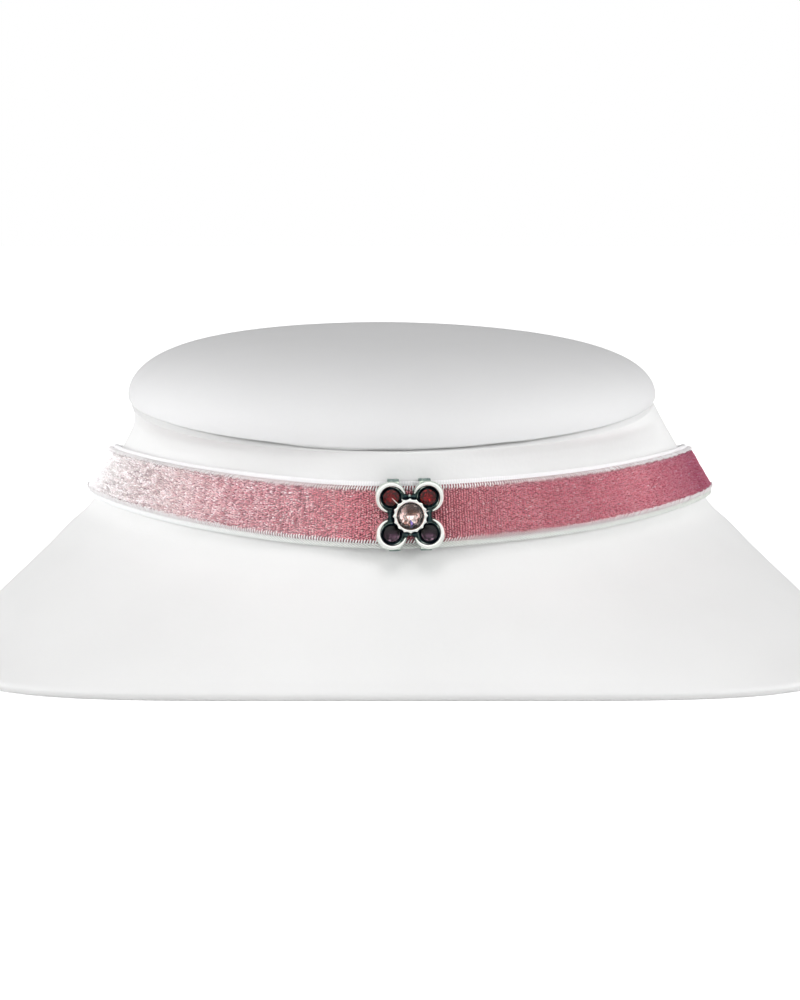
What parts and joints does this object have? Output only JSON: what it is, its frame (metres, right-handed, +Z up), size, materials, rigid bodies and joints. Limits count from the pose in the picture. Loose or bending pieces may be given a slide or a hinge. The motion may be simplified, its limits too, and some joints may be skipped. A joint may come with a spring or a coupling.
{
  "type": "choker necklace on a neck display bust",
  "caption": "Velvet ribbon choker with a petal slider ornament set with round stones, worn by a plain low white neck display bust.",
  "frame": {"origin": "middle of the bust's flat base, on the surface it stands on", "axes": "+Z up, +X to the right seen from the front, +Y to the back, so the ornament faces -Y"},
  "size_m": [0.146, 0.12, 0.0488],
  "materials": {
    "bust_leatherette": "smooth white leatherette, satin",
    "cap_leatherette": "padded white leatherette, satin",
    "rose_velvet": "dusty rose velvet pile with white woven selvedges",
    "clasp_metal": "silver-coloured, satin",
    "old_silver": "antique silver plate, polished high spots and blackened recesses",
    "rose_glass": "faceted light rose glass with a foiled back",
    "garnet_glass": "faceted dark red glass with a foiled back",
    "plum_glass": "faceted dark plum glass with a foiled back"
  },
  "bodies": {
    "root": {"bust_form": "bust_leatherette", "neck_cap": "cap_leatherette", "velvet_ribbon": "rose_velvet", "clasp": "clasp_metal", "flower_setting": "old_silver", "centre_stone": "rose_glass", "petal_stone_1": "garnet_glass", "petal_stone_2": "garnet_glass", "petal_stone_3": "plum_glass", "petal_stone_4": "plum_glass"}
  },
  "joints": []
}
